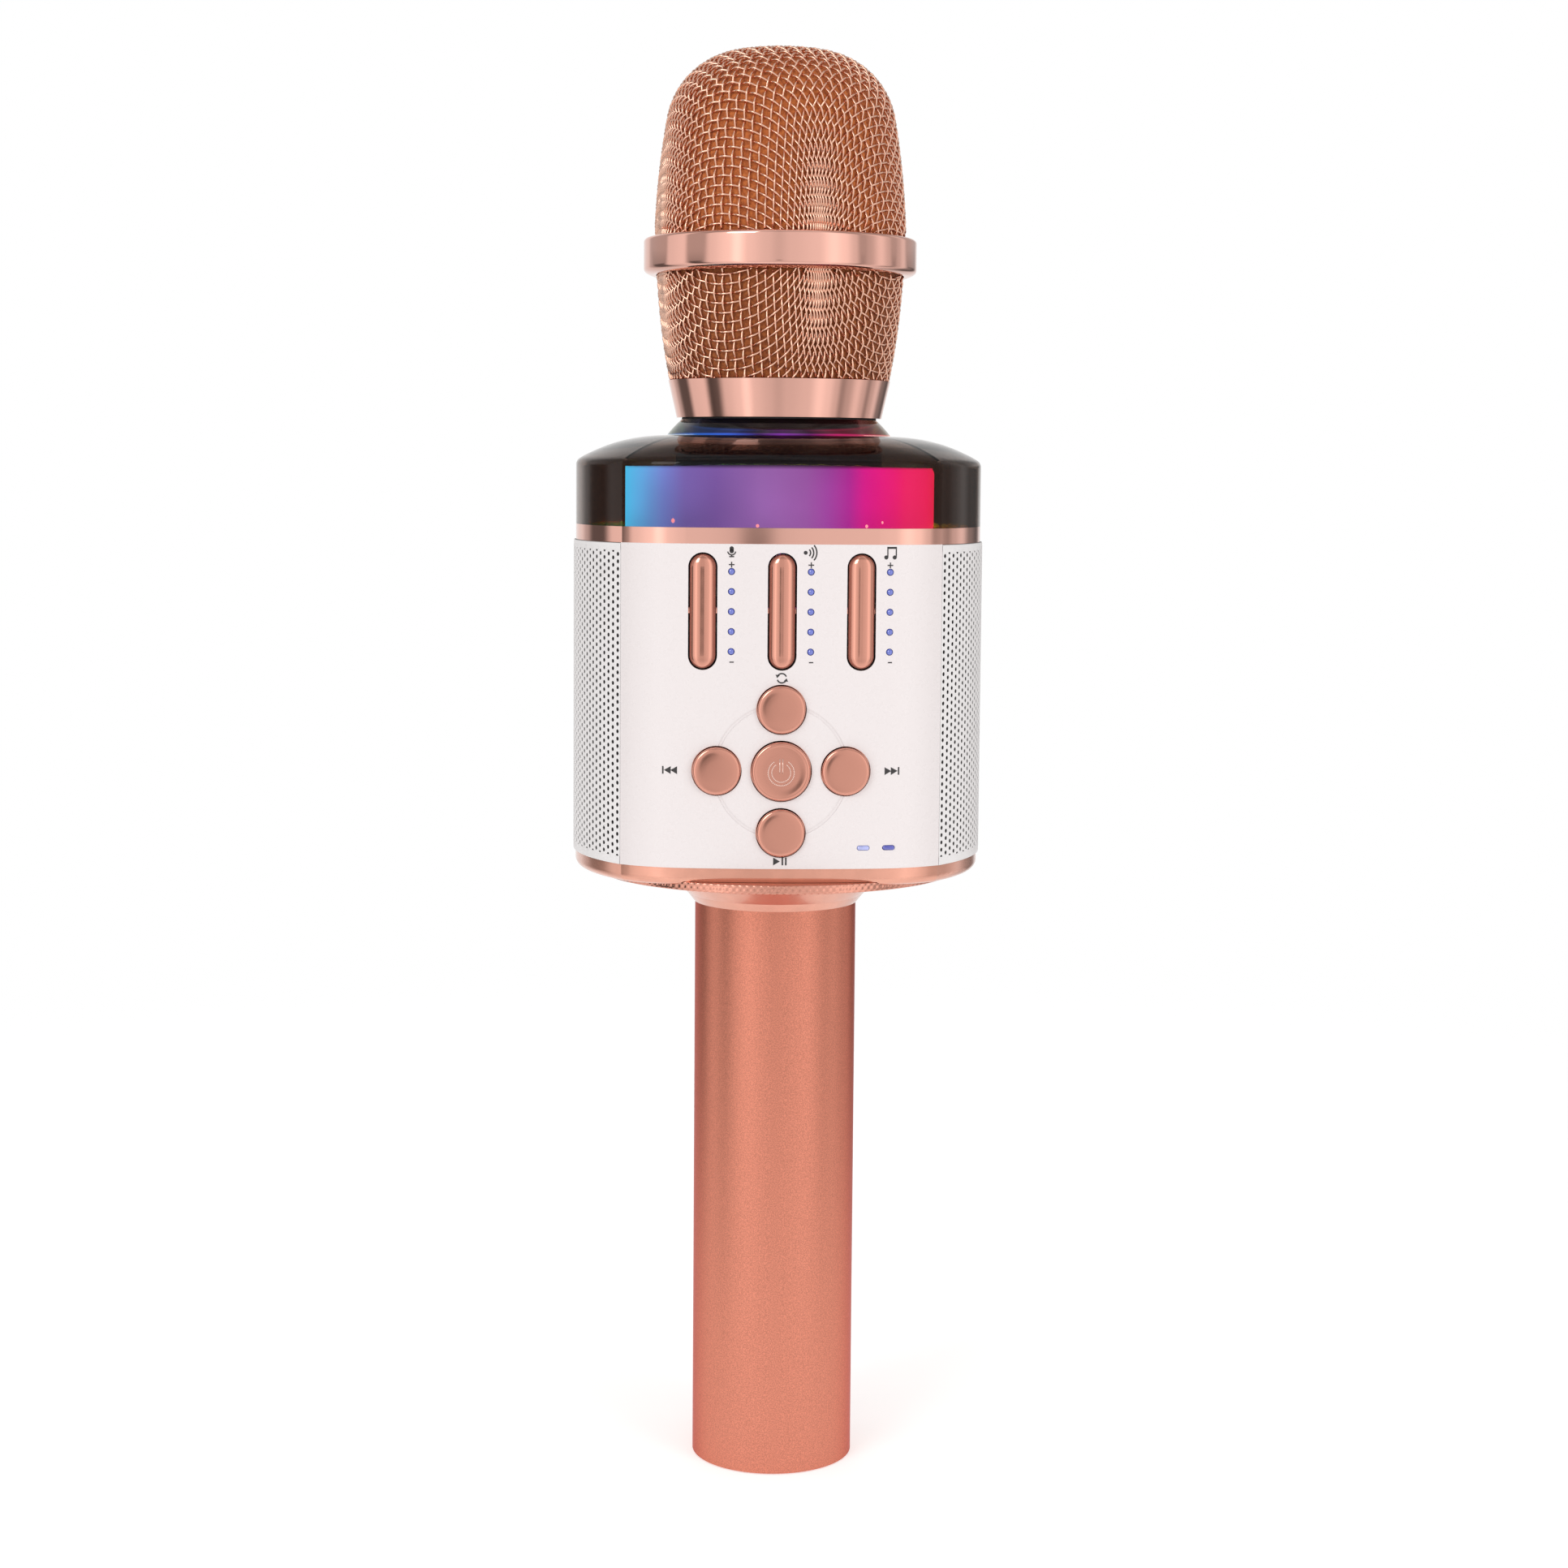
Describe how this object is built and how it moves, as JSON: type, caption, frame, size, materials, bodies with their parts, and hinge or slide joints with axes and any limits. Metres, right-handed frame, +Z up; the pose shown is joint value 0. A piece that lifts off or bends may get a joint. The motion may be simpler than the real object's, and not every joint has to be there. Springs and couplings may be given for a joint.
{
  "type": "karaoke microphone",
  "caption": "Handheld karaoke microphone: wire grille head, lit smoked ring, speaker body with buttons and rocker keys, plain tube handle.",
  "frame": {"origin": "centre of the flat foot of the handle", "axes": "+Z up the handle to the head, the control panel faces -Y, +X to the right of the panel"},
  "size_m": [0.0754, 0.071, 0.2616],
  "materials": {
    "rose_chrome": "polished rose-gold plating",
    "rose_gloss": "rose-gold lacquer",
    "rose_anodised": "fine satin anodised",
    "rose_wire": "plated woven wire",
    "foam": "open-cell foam",
    "smoked": "smoked clear, polished",
    "diffuser": "milky, lit from inside",
    "white_panel": "satin white",
    "white_grille": "satin white enamel",
    "black_plastic": "moulded, fine texture",
    "white_plastic": "moulded",
    "board": "solder mask over glass laminate",
    "switch": "moulded",
    "rubber": "moulded rubber",
    "screw_steel": "zinc plated",
    "socket_metal": "tinned",
    "magnet": "plated ferrite and steel",
    "paper_cone": "pressed paper",
    "cell_wrap": "shrink wrap",
    "lead": "insulated wire",
    "capsule": "drawn",
    "led": "moulded LED package",
    "level_light": "lit blue bead"
  },
  "bodies": {
    "body": {"handle_tube": "rose_anodised", "end_cap": "rose_gloss", "handle_collar": "rose_gloss", "battery_cell": "cell_wrap", "battery_sled": "black_plastic", "battery_harness": "lead", "bottom_shell": "rose_gloss", "shell_screws": "screw_steel", "knurled_ring": "rose_chrome", "bottom_rim": "rose_gloss", "control_panel": "white_panel", "level_lights": "level_light", "status_lights": "level_light", "button_board": "board", "board_screws": "screw_steel", "tact_switches": "switch", "rocker_bracket": "black_plastic", "speaker_grille": "white_grille", "chassis": "black_plastic", "port_plate": "white_plastic", "port_board": "board", "usb_socket": "socket_metal", "audio_jack": "black_plastic", "card_slot": "socket_metal", "main_board": "board", "trim_ring": "rose_chrome", "light_deck": "white_plastic", "led_ring_board": "board", "rgb_leds": "led", "light_diffuser": "diffuser", "light_cover": "smoked", "neck_skirt": "smoked", "neck_spigot": "black_plastic", "capsule_stalk": "black_plastic", "capsule_holder": "rubber", "mic_capsule": "capsule", "capsule_lead": "lead", "speaker_frame_left": "magnet", "speaker_magnet_left": "magnet", "speaker_surround_left": "rubber", "speaker_cone_left": "paper_cone", "speaker_frame_right": "magnet", "speaker_magnet_right": "magnet", "speaker_surround_right": "rubber", "speaker_cone_right": "paper_cone"},
    "head_lift": {"seal_ring": "rubber"},
    "head": {"grille_upper": "rose_wire", "grille_lower": "rose_wire", "grille_band": "rose_chrome", "head_collar": "rose_chrome", "foam_upper": "foam", "foam_lower": "foam"},
    "rocker_mic": {"rocker_mic": "rose_chrome"},
    "rocker_echo": {"rocker_echo": "rose_chrome"},
    "rocker_music": {"rocker_music": "rose_chrome"},
    "button_mode": {"button_mode": "rose_chrome"},
    "button_prev": {"button_prev": "rose_chrome"},
    "button_power": {"button_power": "rose_chrome"},
    "button_next": {"button_next": "rose_chrome"},
    "button_play": {"button_play": "rose_chrome"}
  },
  "joints": [
    {"name": "head_rise", "type": "slide", "parent": "body", "child": "head_lift", "axis": [0, 0, 1], "range_m": [0, 0.0045]},
    {"name": "head_turn", "type": "hinge", "parent": "head_lift", "child": "head", "pos_m": [0, 0, 0.1946], "axis": [0, 0, 1], "range_deg": [0, 1080]},
    {"name": "rocker_mic_tip", "type": "hinge", "parent": "body", "child": "rocker_mic", "pos_m": [-0.0139, -0.0263, 0.1605], "axis": [1, 0, 0], "range_deg": [-2.5, 2.5], "stiffness_Nm_per_rad": 0.35},
    {"name": "rocker_echo_tip", "type": "hinge", "parent": "body", "child": "rocker_echo", "pos_m": [0, -0.0263, 0.1605], "axis": [1, 0, 0], "range_deg": [-2.5, 2.5], "stiffness_Nm_per_rad": 0.35},
    {"name": "rocker_music_tip", "type": "hinge", "parent": "body", "child": "rocker_music", "pos_m": [0.0139, -0.0263, 0.1605], "axis": [1, 0, 0], "range_deg": [-2.5, 2.5], "stiffness_Nm_per_rad": 0.35},
    {"name": "button_mode_press", "type": "slide", "parent": "body", "child": "button_mode", "axis": [0, 1, 0], "range_m": [0, 0.0006], "stiffness_N_per_m": 1800},
    {"name": "button_prev_press", "type": "slide", "parent": "body", "child": "button_prev", "axis": [0, 1, 0], "range_m": [0, 0.0006], "stiffness_N_per_m": 1800},
    {"name": "button_power_press", "type": "slide", "parent": "body", "child": "button_power", "axis": [0, 1, 0], "range_m": [0, 0.0006], "stiffness_N_per_m": 1800},
    {"name": "button_next_press", "type": "slide", "parent": "body", "child": "button_next", "axis": [0, 1, 0], "range_m": [0, 0.0006], "stiffness_N_per_m": 1800},
    {"name": "button_play_press", "type": "slide", "parent": "body", "child": "button_play", "axis": [0, 1, 0], "range_m": [0, 0.0006], "stiffness_N_per_m": 1800}
  ],
  "couplings": [
    {"joint": "head_turn", "follows": "head_rise", "rad_per_m": 4188.8}
  ]
}
